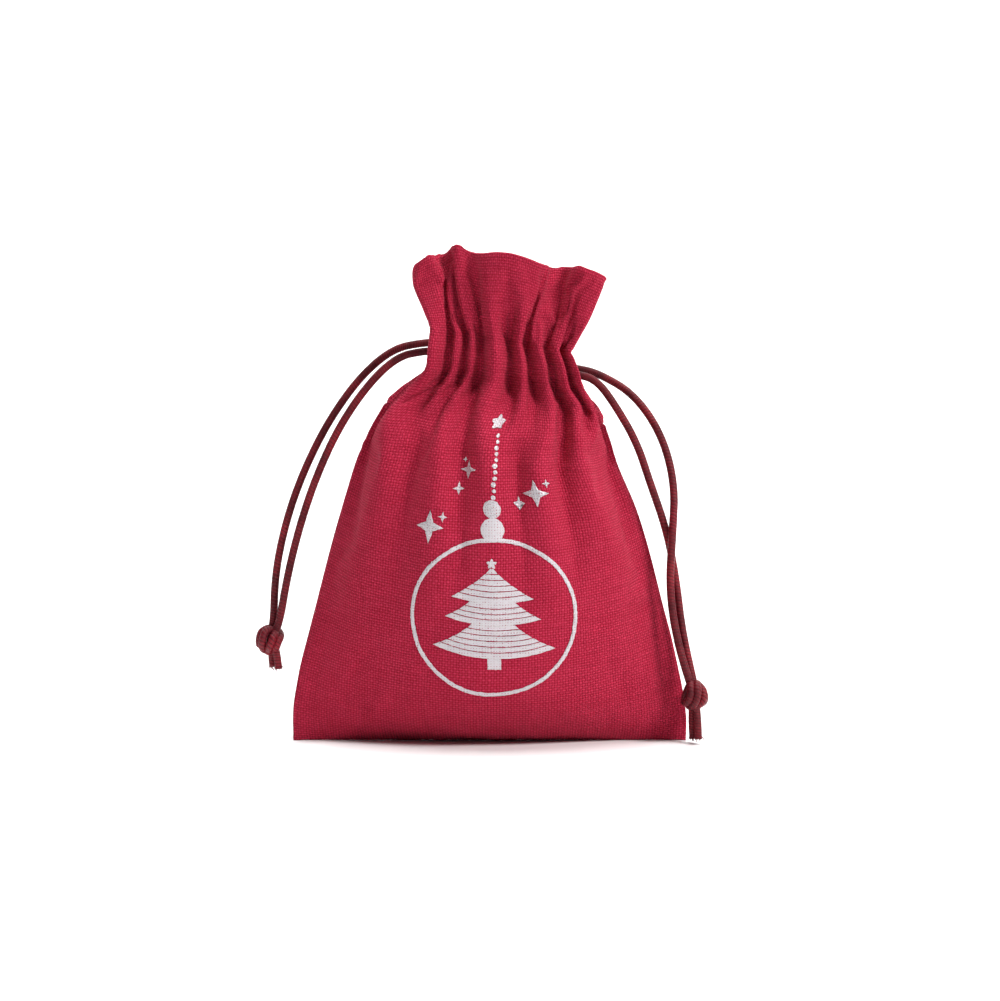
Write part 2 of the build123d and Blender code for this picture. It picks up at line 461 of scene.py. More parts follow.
@dataclass(frozen=True)
class CanvasFinish:
    """Matt red cotton canvas with painted shade in the gaps between yarns, a painted highlight on the weft
    crowns, uneven dye and a little fuzz.
    """

    crown: Colour = (0.490, 0.020, 0.057, 1)
    # gap: painted shade between the yarns; also the darker tone of the slubs
    gap: Colour = (0.255, 0.007, 0.022, 1)
    pale: Colour = (0.570, 0.032, 0.080, 1)
    # lit: painted highlight on the crowns where the weft lies on top
    lit: Colour = (0.660, 0.050, 0.110, 1)
    relief: float = 0.26 * MM

    def make(self) -> bpy.types.Material:
        """The finished canvas.

        Returns:
            The material.
        """
        wiring = Wiring("red_canvas")
        yarn, weft = Weave().height(wiring)
        across, along = wiring.uv()
        flat = wiring.join(across, along)
        threads = wiring.join(wiring.math("MULTIPLY", across, 0.06), along)
        patches = wiring.remap(wiring.noise(flat, 22, 4), 0.35, 0.68)
        slubs = wiring.remap(wiring.noise(threads, 300, 3), 0.35, 0.72)
        dyed = wiring.mix(wiring.math("MULTIPLY", patches, 0.45), self.crown, self.pale)
        dyed = wiring.mix(wiring.math("MULTIPLY", slubs, 0.30), dyed, self.gap)
        # painted shade: the low places of the weave take the gap colour
        colour = wiring.mix(wiring.remap(yarn, 0.10, 0.70), self.gap, dyed)
        # painted highlight: the weft crowns are lightened towards the lit colour
        colour = wiring.mix(wiring.remap(weft, 0.40, 1.0, 0.0, 0.55), colour, self.lit)
        wiring.feed(wiring.shader.inputs["Base Color"], colour)
        fuzz = wiring.noise(flat, 900, 2)
        roughness = wiring.remap(fuzz, 0.3, 0.7, 0.82, 0.96)
        wiring.feed(wiring.shader.inputs["Roughness"], roughness)
        soft = wiring.bump(fuzz, 0.04 * MM)
        wiring.feed(wiring.shader.inputs["Normal"], wiring.bump(yarn, self.relief, 0.9, soft))
        wiring.shader.inputs["Sheen Weight"].default_value = 0.06
        wiring.shader.inputs["Sheen Roughness"].default_value = 0.45
        wiring.shader.inputs["Sheen Tint"].default_value = (1.0, 0.45, 0.52, 1)
        wiring.shader.inputs["Specular IOR Level"].default_value = 0.10
        return wiring.material


@dataclass(frozen=True)
class PrintFinish:
    """White and silver transfer print that the weave breaks up, with darker silver flecks that are partly the
    foil's own grey and partly painted reflection.
    """

    ink: Colour = (0.62, 0.58, 0.61, 1)
    # silver: colour of the flecks, partly the foil's own grey and partly painted dark reflection
    silver: Colour = (0.26, 0.25, 0.27, 1)
    worn: Colour = (0.36, 0.06, 0.09, 1)
    foil: bool = False

    def make(self, name: str) -> bpy.types.Material:
        """The finished print.

        Args:
            name: The material's name.

        Returns:
            The material.
        """
        wiring = Wiring(name)
        yarn, _ = Weave().height(wiring)
        across, along = wiring.uv()
        flat = wiring.join(across, along)
        flecks = wiring.remap(wiring.noise(flat, 460, 3), 0.52, 0.66)
        # the flecks are partly the foil's own grey and partly painted dark reflections of the foil
        reflection_fleck_share = wiring.math("MULTIPLY", flecks, 0.9 if self.foil else 0.16)
        colour = wiring.mix(reflection_fleck_share, self.ink, self.silver)
        wear = wiring.remap(wiring.noise(flat, 150, 4), 0.40, 0.62)
        bare = wiring.math("MULTIPLY", wiring.remap(yarn, 0.34, 0.14), wiring.math("ADD", wear, 0.10))
        wiring.feed(wiring.shader.inputs["Base Color"], wiring.mix(bare, colour, self.worn))
        wiring.feed(wiring.shader.inputs["Roughness"], wiring.remap(flecks, 0, 1, 0.45, 0.28))
        wiring.shader.inputs["Metallic"].default_value = 0.35 if self.foil else 0.0
        wiring.feed(wiring.shader.inputs["Normal"], wiring.bump(yarn, 0.12 * MM, 0.8))
        return wiring.material


@dataclass(frozen=True)
class CordFinish:
    """Satin cord, wine red, with fine slanting ribs and painted shade in the grooves between them."""

    light: Colour = (0.250, 0.012, 0.022, 1)
    dark: Colour = (0.062, 0.003, 0.007, 1)
    rib: float = 0.70 * MM

    def make(self) -> bpy.types.Material:
        """The finished cord.

        Returns:
            The material.
        """
        wiring = Wiring("satin_cord")
        along, around = wiring.uv()
        centimetre = 0.01
        turns = wiring.math(
            "ADD",
            wiring.math("MULTIPLY", along, math.pi * centimetre / self.rib),
            wiring.math("MULTIPLY", around, 2 * math.pi),
        )
        ribs = wiring.math("ABSOLUTE", wiring.math("SINE", turns))
        streaks = wiring.noise(wiring.join(along, wiring.math("MULTIPLY", around, 9.0)), 6, 4)
        patches = wiring.noise(wiring.object_place(), 160, 3)
        lit = wiring.mix(wiring.remap(patches, 0.35, 0.7), self.dark, self.light)
        lit = wiring.mix(wiring.math("MULTIPLY", wiring.remap(streaks, 0.4, 0.7), 0.4), lit, self.light)
        # painted shade: the grooves between the ribs are darkened to the dark colour
        groove_shaded_colour = wiring.mix(wiring.remap(ribs, 0.1, 0.6), self.dark, lit)
        wiring.feed(wiring.shader.inputs["Base Color"], groove_shaded_colour)
        wiring.feed(wiring.shader.inputs["Roughness"], wiring.remap(streaks, 0.3, 0.7, 0.36, 0.55))
        wiring.feed(wiring.shader.inputs["Normal"], wiring.bump(ribs, 0.12 * MM, 0.8))
        wiring.shader.inputs["Specular IOR Level"].default_value = 0.22
        return wiring.material


@dataclass(frozen=True)
class ThreadFinish:
    """Twisted polyester sewing thread, dyed to the canvas, with painted shade in the grooves of its twist."""

    crown: Colour = (0.47, 0.022, 0.058, 1)
    # painted shade in the twist's grooves
    painted_groove_shade: Colour = (0.30, 0.010, 0.030, 1)

    def make(self) -> bpy.types.Material:
        """The finished thread.

        Returns:
            The material.
        """
        wiring = Wiring("sewing_thread")
        twist = wiring.add("TexWave", wave_type="BANDS", bands_direction="DIAGONAL")
        twist.inputs["Scale"].default_value = 900
        wiring.tree.links.new(wiring.object_place(), twist.inputs["Vector"])
        # painted shade: the twist's grooves take the darker colour
        wiring.feed(
            wiring.shader.inputs["Base Color"], wiring.mix(twist.outputs["Fac"], self.painted_groove_shade, self.crown)
        )
        wiring.feed(wiring.shader.inputs["Normal"], wiring.bump(twist.outputs["Fac"], 0.05 * MM))
        wiring.shader.inputs["Roughness"].default_value = 0.8
        wiring.shader.inputs["Specular IOR Level"].default_value = 0.12
        return wiring.material


# The canvas


class Side(Enum):
    """The two panels of the pouch, by the sign of Y that they bulge to."""

    FRONT = -1
    BACK = 1


NECK_BOTTOM = 104.9  # millimetres up the flat cloth
NECK_MIDDLE = 109.9
NECK_TOP = 114.9
CLOTH_TOP = 136.0
SEAM_END = 97.6  # the cord slits start here
HALF_CLOTH = 50.0


@dataclass
class PanelShape:
    """How one flat panel hangs: guides along its height, and its pleats.

    All sizes are millimetres. A height is measured up the flat cloth from the bottom seam.
    """

    side: Side
    valleys: list[float]
    low_places: list[float]
    high_places: list[float]
    folds: list[float]
    top_line: list[Point]
    heights: list[float] = field(default_factory=lambda: [
        0, 6, 10.2, 15, 21.3, 29.1, 39.3, 53, 67.4, 79.6, 89.9, SEAM_END, NECK_BOTTOM, NECK_MIDDLE, NECK_TOP,
    ])
    left: list[Point] = field(default_factory=lambda: [
        (-49.7, 0, 0.03), (-49.9, 0, 5.4), (-49.7, 0, 9.2), (-49.0, 0, 13.5), (-47.9, 0, 19.2),
        (-46.0, 0, 26.5), (-43.5, 0, 36.0), (-40.0, 0, 49.5), (-36.2, 0, 62.5), (-32.8, 0, 73.0),
        (-28.5, 0, 82.0), (-23.0, 0.6, 88.8), (-15.7, 5.0, 94.4), (-14.9, 5.9, 99.2), (-14.3, 5.6, 104.1),
    ])
    right: list[Point] = field(default_factory=lambda: [
        (49.7, 0, 0.03), (49.9, 0, 5.2), (49.5, 0, 9.0), (48.8, 0, 13.3), (47.6, 0, 18.9),
        (46.0, 0, 26.0), (43.6, 0, 35.0), (40.3, 0, 48.0), (36.5, 0, 60.0), (32.0, 0, 70.0),
        (29.2, 0, 78.0), (27.6, 0.6, 84.0), (22.8, 5.0, 89.2), (21.4, 5.9, 93.4), (19.3, 5.6, 98.0),
    ])
    middle: list[Point] = field(default_factory=lambda: [
        (0, 0, 0.03), (0, 5.2, 1.6), (0, 8.7, 4.0), (0, 12.3, 7.2), (0, 15.8, 12.3),
        (0, 18.6, 19.5), (0, 20.5, 28.8), (0.1, 21.0, 41.9), (0.4, 19.9, 56.0), (0.9, 17.4, 68.0),
        (1.4, 13.6, 77.8), (1.8, 9.6, 85.0), (2.2, 6.0, 91.6), (2.6, 7.0, 96.5), (3.0, 6.0, 101.4),
    ])

    def roundness(self, height: float) -> float:
        """Exponent of the level section: 1 is a lens, a half is an ellipse."""
        return 1.0 - 0.42 * ease(height, 30, 80)

    def fold_line(self, height: float, share: np.ndarray) -> tuple[np.ndarray, np.ndarray]:
        """Where the cloth lies along the level section, and how far it stands out.

        Args:
            height: Height up the flat cloth.
            share: Shares of the cloth's width, from the left edge.

        Returns:
            The share along the section, and the standing-out from 0 to 1.
        """
        places, stands = share.copy(), np.zeros_like(share)
        gathered = ease(height, 78, NECK_BOTTOM)
        climb = ease(height, NECK_BOTTOM - 2, NECK_TOP + 2)
        neck_places = [low + (high - low) * climb for low, high in zip(self.low_places, self.high_places)]
        for weight, cuts, spots in (
            (gathered, self.valleys, neck_places),
            (1 - gathered, self.folds, self.folds),
        ):
            ends, spot_ends = np.array([0.0, *cuts, 1.0]), np.array([0.0, *spots, 1.0])
            pleat = np.clip(np.searchsorted(ends, share, side="right") - 1, 0, len(ends) - 2)
            width = ends[pleat + 1] - ends[pleat]
            inside = (share - ends[pleat]) / width
            tall = np.sqrt(np.maximum(width**2 - (0.4 * (spot_ends[pleat + 1] - spot_ends[pleat])) ** 2, 0))
            tall = np.minimum(tall, 0.14)
            stands += weight * np.abs(np.sin(math.pi * inside)) ** 1.25 * tall / 0.16
            places += weight * (np.interp(share, ends, spot_ends) - share)
        return places, stands

    def laid_width(self, height: float) -> float:
        """Width that a row keeps when its finest gathers are taken up."""
        return 2 * HALF_CLOTH * (1 - 0.11 * ease(height, 78, NECK_BOTTOM))

    def level(self, height: float, count: int) -> np.ndarray:
        """Points across the cloth at one height below the frill, at even distances.

        Args:
            height: Height up the flat cloth.
            count: How many points.

        Returns:
            Points from the left edge to the right one.
        """
        left = smooth_between(height, self.heights, self.left)[0]
        right = smooth_between(height, self.heights, self.right)[0]
        middle = smooth_between(height, self.heights, self.middle)[0]
        share = np.linspace(0, 1, 500)
        places, stands = self.fold_line(height, share)
        chord = left + (right - left) * places[:, None]
        centre = (left + right) / 2
        swell = np.maximum(1 - (2 * places - 1) ** 2, 0) ** self.roundness(height)
        base = chord + (middle - centre) * swell[:, None] * np.array([0, 1, 1])
        edge_fade = np.clip(np.minimum(share, 1 - share) / 0.05, 0, 1)
        edge_fade = np.maximum(edge_fade, ease(height, SEAM_END, NECK_BOTTOM))
        out = np.array([0.0, 1.0, 0.0]) * (stands * edge_fade)[:, None]
        sideways = (places - 0.5)[:, None] * np.array([1.4, 0, 0]) * (stands * edge_fade)[:, None]
        low, high = 0.0, 12.0 * ease(height, -0.2, 16)
        for _ in range(24):
            depth = (low + high) / 2
            if walk(base + depth * (out + sideways * 0.6))[-1] < self.laid_width(height):
                low = depth
            else:
                high = depth
        line = base + low * (out + sideways * 0.6)
        line[:, 1] *= self.side.value
        return even_steps(line, count)

    def top(self, count: int) -> np.ndarray:
        """Points along the frill's upper edge, at even distances.

        Args:
            count: How many points.

        Returns:
            The points, from the left edge.
        """
        points = np.array(self.top_line, float)
        rough = walk(points)
        line = smooth_between(np.linspace(0, rough[-1], 600), rough, points)
        return even_steps(line, count)

    def surface(self, rows: int, columns: int) -> np.ndarray:
        """The whole panel as a grid of points, rows by columns, from the bottom seam up.

        Args:
            rows: Rows of points.
            columns: Points in a row.

        Returns:
            The points, in millimetres.
        """
        heights = np.linspace(0, CLOTH_TOP, rows)
        neck, top = self.level(NECK_TOP, columns), self.top(columns)
        grid = np.zeros((rows, columns, 3))
        spread = np.linspace(-1, 1, columns)[:, None] ** 3
        spread = np.where(spread < 0, 1.8, 0.1) * spread
        for row, height in enumerate(heights):
            if height <= NECK_TOP:
                grid[row] = self.level(height, columns)
                continue
            share = (height - NECK_TOP) / (CLOTH_TOP - NECK_TOP)
            bow = math.sin(math.pi * share**1.6)
            grid[row] = neck + (top - neck) * share
            grid[row] += spread * bow * np.array([1, 0, 0])
        return grid


FRONT_SHAPE = PanelShape(
    side=Side.FRONT,
    valleys=[0.190, 0.280, 0.375, 0.530, 0.645, 0.765, 0.885],
    low_places=[0.142, 0.235, 0.339, 0.540, 0.678, 0.820, 0.915],
    high_places=[0.157, 0.262, 0.369, 0.567, 0.685, 0.826, 0.920],
    folds=[0.23, 0.41, 0.60, 0.76],
    top_line=[
        (-17.9, -3.4, 118.8), (-18.7, -6.2, 119.4), (-17.3, -9.4, 120.9), (-15.4, -9.8, 122.0),
        (-13.9, -7.0, 122.6), (-12.9, -3.6, 122.9), (-11.4, -2.6, 123.3), (-10.0, -4.4, 123.9),
        (-9.3, -7.6, 124.2), (-8.0, -9.8, 124.4), (-6.5, -9.2, 124.1), (-5.4, -8.2, 123.1),
        (-4.0, -9.0, 122.4), (-2.0, -11.2, 122.2), (1.5, -13.2, 122.4), (5.0, -13.8, 122.1),
        (9.0, -13.4, 121.0), (12.8, -12.0, 119.7), (14.6, -8.8, 119.3), (15.2, -4.8, 119.3),
        (17.4, -2.8, 119.4), (19.8, -4.6, 119.3), (22.6, -9.0, 119.8), (26.4, -8.8, 118.0),
        (29.0, -5.6, 116.3), (28.2, -2.6, 116.0),
    ],
)
BACK_SHAPE = PanelShape(
    side=Side.BACK,
    valleys=[0.13, 0.25, 0.38, 0.52, 0.65, 0.77, 0.89],
    low_places=[0.10, 0.24, 0.36, 0.51, 0.66, 0.79, 0.91],
    high_places=[0.13, 0.26, 0.38, 0.54, 0.63, 0.78, 0.89],
    folds=[0.20, 0.36, 0.55, 0.79],
    top_line=[
        (-16.4, 3.0, 118.8), (-18.2, 6.6, 119.2), (-15.4, 10.6, 120.4), (-11.0, 11.4, 121.0),
        (-8.2, 8.2, 121.0), (-6.6, 5.2, 120.6), (-4.2, 6.2, 120.6), (-2.6, 10.4, 121.2),
        (1.8, 13.2, 121.4), (6.0, 12.0, 120.8), (7.8, 7.6, 120.0), (9.6, 5.2, 119.4),
        (11.6, 7.4, 119.4), (13.2, 11.6, 119.4), (17.4, 12.8, 119.0), (20.0, 9.4, 118.2),
        (21.4, 6.2, 117.6), (24.2, 7.4, 117.2), (26.6, 9.0, 116.6), (28.6, 5.8, 115.6), (27.6, 2.4, 115.4),
    ],
)


@dataclass
class Canvas:
    """Both panels: shaped, relaxed as cloth, and made into pieces."""

    columns: int = 71
    rows: int = 97
    hem_rows: int = 42
    thickness: float = 0.55 * MM
    fold_gap: float = 0.95 * MM  # between the frill's outer layer and the hem folded behind it
    floor_gap: float = 0.03 * MM
    grids: dict[Side, np.ndarray] = field(default_factory=dict)
    normal_cache: dict[Side, np.ndarray] = field(default_factory=dict)

    def shape(self) -> None:
        """Lay both panels out in their gathered shape, in metres."""
        for panel in (FRONT_SHAPE, BACK_SHAPE):
            self.grids[panel.side] = panel.surface(self.rows, self.columns) * MM
            log.info("%s panel laid out", panel.side.name.lower())

    def flat(self, row: int, column: int) -> tuple[float, float]:
        """Flat cloth coordinates of a grid point, in millimetres."""
        across = HALF_CLOTH * (2 * column / (self.columns - 1) - 1)
        return across, CLOTH_TOP * row / (self.rows - 1)

    def relax(self, steps: int = 26) -> None:
        """Let the cloth settle around its seams and stitched neck.

        Args:
            steps: Frames of simulation.
        """
        zoom = 10.0
        form = bmesh.new()
        home = form.verts.layers.int.new("home")
        held = []
        for number, side in enumerate(Side):
            made = bmesh.ops.create_grid(
                form, x_segments=self.columns - 1, y_segments=self.rows - 1, size=1.0
            )
            for vertex in made["verts"]:
                column = round((vertex.co.x + 1) / 2 * (self.columns - 1))
                row = round((vertex.co.y + 1) / 2 * (self.rows - 1))
                vertex[home] = (number * self.rows + row) * self.columns + column
                vertex.co = Vector(self.grids[side][row, column]) * zoom
        seam = [v for v in form.verts if self.on_seam(v[home])]
        bmesh.ops.remove_doubles(form, verts=seam, dist=0.02 * MM * zoom)
        form.verts.ensure_lookup_table()
        homes = [vertex[home] for vertex in form.verts]
        mesh = mesh_from(form, "cloth_at_work")
        worker = bpy.data.objects.new("cloth_at_work", mesh)
        bpy.context.scene.collection.objects.link(worker)
        worker.shape_key_add(name="hung")
        cut = worker.shape_key_add(name="cut")
        group = worker.vertex_groups.new(name="held")
        sides = list(Side)
        widths = {
            side: [walk(line)[-1] / (2 * HALF_CLOTH * MM) for line in self.grids[side]] for side in Side
        }
        for index, code in enumerate(homes):
            number, row, column = self.unpack(code)
            across, along = self.flat(row, column)
            ease_in = abs(across / HALF_CLOTH) ** 4
            across *= widths[sides[number]][row]
            flat_place = Vector((across, sides[number].value * 0.01, along * (1 - 0.035 * ease_in)))
            cut.data[index].co = flat_place * MM * zoom
            group.add([index], self.hold(row, column), "REPLACE")
        cloth = worker.modifiers.new("cloth", "CLOTH")
        settings = cloth.settings
        settings.quality = 7
        settings.mass = 0.25
        settings.air_damping = 4.0
        settings.tension_stiffness = 45
        settings.compression_stiffness = 45
        settings.shear_stiffness = 12
        settings.bending_stiffness = 1.4
        settings.tension_damping = 12
        settings.compression_damping = 12
        settings.bending_damping = 1.5
        settings.vertex_group_mass = "held"
        settings.pin_stiffness = 1.0
        settings.rest_shape_key = cut
        settings.use_pressure = True
        settings.uniform_pressure_force = 2.2
        settings.effector_weights.gravity = 0
        cloth.collision_settings.use_collision = False
        cloth.collision_settings.use_self_collision = True
        cloth.collision_settings.self_distance_min = 0.5 * MM * zoom
        scene = bpy.context.scene
        for frame_number in range(1, steps + 1):
            scene.frame_set(frame_number)
        graph = bpy.context.evaluated_depsgraph_get()
        settled = worker.evaluated_get(graph).to_mesh()
        moved = 0.0
        for index, code in enumerate(homes):
            number, row, column = self.unpack(code)
            place = np.array(settled.vertices[index].co) / zoom
            for side_number in (0, 1) if self.on_seam(code) else (number,):
                old = self.grids[sides[side_number]][row, column].copy()
                moved = max(moved, float(np.linalg.norm(place - old)))
                self.grids[sides[side_number]][row, column] = place
        log.info("cloth settled, furthest move %.1f mm", moved / MM)
        bpy.data.objects.remove(worker)
        scene.frame_set(1)

    def unpack(self, code: int) -> tuple[int, int, int]:
        """Panel number, row and column of a grid point's number.

        Args:
            code: The grid point's number.

        Returns:
            The panel number, row and column.
        """
        rest, column = divmod(code, self.columns)
        number, row = divmod(rest, self.rows)
        return number, row, column

    def on_seam(self, code: int) -> bool:
        """Whether a grid point is sewn to the other panel.

        Args:
            code: The grid point's number.

        Returns:
            True where it is sewn.
        """
        _, row, column = self.unpack(code)
        along = self.flat(row, column)[1]
        return row == 0 or (column in (0, self.columns - 1) and along < SEAM_END - 2)

    def hold(self, row: int, column: int) -> float:
        """How firmly a grid point keeps its place while the cloth settles, from 0 to 1.

        Args:
            row: The point's row.
            column: The point's column.

        Returns:
            The firmness.
        """
        along = self.flat(row, column)[1]
        if row == 0:
            return 1.0
        if column in (0, self.columns - 1):
            return 0.95 if along < NECK_TOP else 0.7
        if NECK_BOTTOM - 1.5 <= along <= NECK_TOP + 1.0:
            return 0.9
        if row == self.rows - 1:
            return 0.75
        if along > NECK_TOP:
            return 0.22
        return 0.05 + 0.3 * ease(along, 90, NECK_BOTTOM) + 0.45 * ease(along, 18, 3)

    def refine(self) -> None:
        """Put a smooth surface of twice the fineness through the settled points."""
        for side in Side:
            coarse = self.grids[side]
            rows, columns = 2 * self.rows - 1, 2 * self.columns - 1
            taller = smooth_between(
                np.linspace(0, self.rows - 1, rows), list(range(self.rows)), coarse.reshape(self.rows, -1)
            ).reshape(rows, self.columns, 3)
            sideways = taller.transpose(1, 0, 2).reshape(self.columns, -1)
            finer = np.linspace(0, self.columns - 1, columns)
            wider = smooth_between(finer, list(range(self.columns)), sideways)
            self.grids[side] = wider.reshape(columns, rows, 3).transpose(1, 0, 2)
        self.rows, self.columns = rows, columns

    def crinkle(self) -> None:
        """Small uneven waves that handling leaves in the cloth."""
        for side in Side:
            grid = self.grids[side]
            normals = self.normals(side)
            for row in range(1, self.rows - 1):
                for column in range(1, self.columns - 1):
                    across, along = self.flat(row, column)
                    wave = noise.noise(Vector((across / 9, along / 13, side.value * 7.0)))
                    ripple = noise.noise(Vector((across / 3.4, along / 4.6, side.value * 3.0)))
                    grid[row, column] += normals[row, column] * (0.34 * wave + 0.10 * ripple) * MM

    def stand(self) -> None:
        """Keep the whole cloth on or above the floor."""
        for side in Side:
            self.grids[side][..., 2] = np.maximum(self.grids[side][..., 2], self.floor_gap)

    def normals(self, side: Side) -> np.ndarray:
        """Outward directions at every grid point of a panel.

        Args:
            side: The panel.

        Returns:
            One unit vector for each grid point.
        """
        grid = self.grids[side]
        along = np.gradient(grid, axis=0)
        across = np.gradient(grid, axis=1)
        out = np.cross(across, along) * -side.value
        out /= np.maximum(np.linalg.norm(out, axis=2, keepdims=True), 1e-12)
        return out

    def place(self, side: Side, across: float, along: float, lift: float = 0.0) -> Vector:
        """The point that flat cloth coordinates take on the finished pouch.

        Args:
            side: The panel.
            across: Millimetres from the panel's middle.
            along: Millimetres up from the bottom seam.
            lift: Metres above the cloth.

        Returns:
            The point, in metres.
        """
        column = np.clip((across / HALF_CLOTH + 1) / 2 * (self.columns - 1), 0, self.columns - 1.001)
        row = np.clip(along / CLOTH_TOP * (self.rows - 1), 0, self.rows - 1.001)
        i, j = int(row), int(column)
        f, g = row - i, column - j
        weights = (
            (i, j, (1 - f) * (1 - g)), (i + 1, j, f * (1 - g)),
            (i, j + 1, (1 - f) * g), (i + 1, j + 1, f * g),
        )
        grid, normals = self.grids[side], self.normal_cache[side]
        spot = sum(grid[r, c] * w for r, c, w in weights)
        out = sum(normals[r, c] * w for r, c, w in weights)
        return Vector(spot + out / np.linalg.norm(out) * lift)

    def hem(self, side: Side) -> np.ndarray:
        """The layer folded down behind the frill, to the stitching under the cord.

        Args:
            side: The panel.

        Returns:
            The layer's points, from the top fold down.
        """
        grid, normals = self.grids[side], self.normals(side)
        soft = normals.copy()
        for _ in range(3):
            soft[:, 1:-1] = (soft[:, :-2] + 2 * soft[:, 1:-1] + soft[:, 2:]) / 4
        depth_rows = np.linspace(self.rows - 1, (self.rows - 1) * NECK_BOTTOM / CLOTH_TOP, self.hem_rows)
        layer = np.zeros((self.hem_rows, self.columns, 3))
        middle_y = 2.9 * MM * side.value
        for step, row in enumerate(depth_rows):
            i = min(int(row), self.rows - 2)
            f = row - i
            outer = grid[i] * (1 - f) + grid[i + 1] * f
            inward = -(soft[i] * (1 - f) + soft[i + 1] * f)
            behind = outer + inward * self.fold_gap
            height = CLOTH_TOP * row / (self.rows - 1)
            in_channel = ease(height, NECK_TOP + 0.5, NECK_TOP - 2.0)
            in_channel *= ease(height, NECK_BOTTOM - 0.4, NECK_BOTTOM + 1.4)
            ripple = np.array([0.25 * math.sin(column * 1.9) for column in range(self.columns)]) * MM
            flat_y = middle_y + ripple
            behind[:, 1] = behind[:, 1] * (1 - in_channel) + flat_y * in_channel
            layer[step] = behind
        return layer

    def build(self, finish: bpy.types.Material) -> dict[Side, bpy.types.Object]:
        """Make the two canvas pieces.

        Args:
            finish: The canvas material.

        Returns:
            The piece of each side.
        """
        self.normal_cache = {side: self.normals(side) for side in Side}
        pieces = {}
        for side in Side:
            outer, inner = self.grids[side], self.hem(side)
            turn = (outer[-1] + inner[0]) / 2 + self.upward(outer) * 0.30 * MM
            full = np.concatenate([outer, turn[None], inner[1:]])
            name = f"{side.name.lower()}_canvas"
            pieces[side] = self.sheet_piece(full, name, finish, side)
            label = side.name.lower()
            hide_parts(f"{label}_panel", f"{label}_frill", f"{label}_hem_facing")
            log.info("%s made", name)
        return pieces

    def upward(self, outer: np.ndarray) -> np.ndarray:
        """Direction in which each column of cloth leaves its top edge."""
        way = outer[-1] - outer[-3]
        return way / np.linalg.norm(way, axis=1, keepdims=True)

    def sheet_piece(
        self, points: np.ndarray, name: str, finish: bpy.types.Material, side: Side
    ) -> bpy.types.Object:
        """One sheet of cloth from a grid of points, with its thickness inwards.

        Args:
            points: Rows of points, in metres.
            name: The piece's name.
            finish: The material.
            side: The panel it belongs to.

        Returns:
            The piece.
        """
        rows, columns = points.shape[:2]
        form = bmesh.new()
        made = bmesh.ops.create_grid(
            form, x_segments=columns - 1, y_segments=rows - 1, size=1.0, calc_uvs=False
        )
        layer = form.loops.layers.uv.new("UVMap")
        flat_step = CLOTH_TOP / (self.rows - 1)
        for vertex in made["verts"]:
            column = round((vertex.co.x + 1) / 2 * (columns - 1))
            row = round((vertex.co.y + 1) / 2 * (rows - 1))
            vertex.co = points[row, column]
            across = HALF_CLOTH * (2 * column / (columns - 1) - 1)
            for loop in vertex.link_loops:
                loop[layer].uv = ((across + HALF_CLOTH) * MM / UV_SPAN, row * flat_step * MM / UV_SPAN)
        if side is Side.BACK:
            bmesh.ops.reverse_faces(form, faces=form.faces)
        piece = piece_from(mesh_from(form, name), name, finish)
        wall = piece.modifiers.new("cloth_thickness", "SOLIDIFY")
        wall.thickness = self.thickness
        wall.offset = -1
        return piece


# Seams and stitches


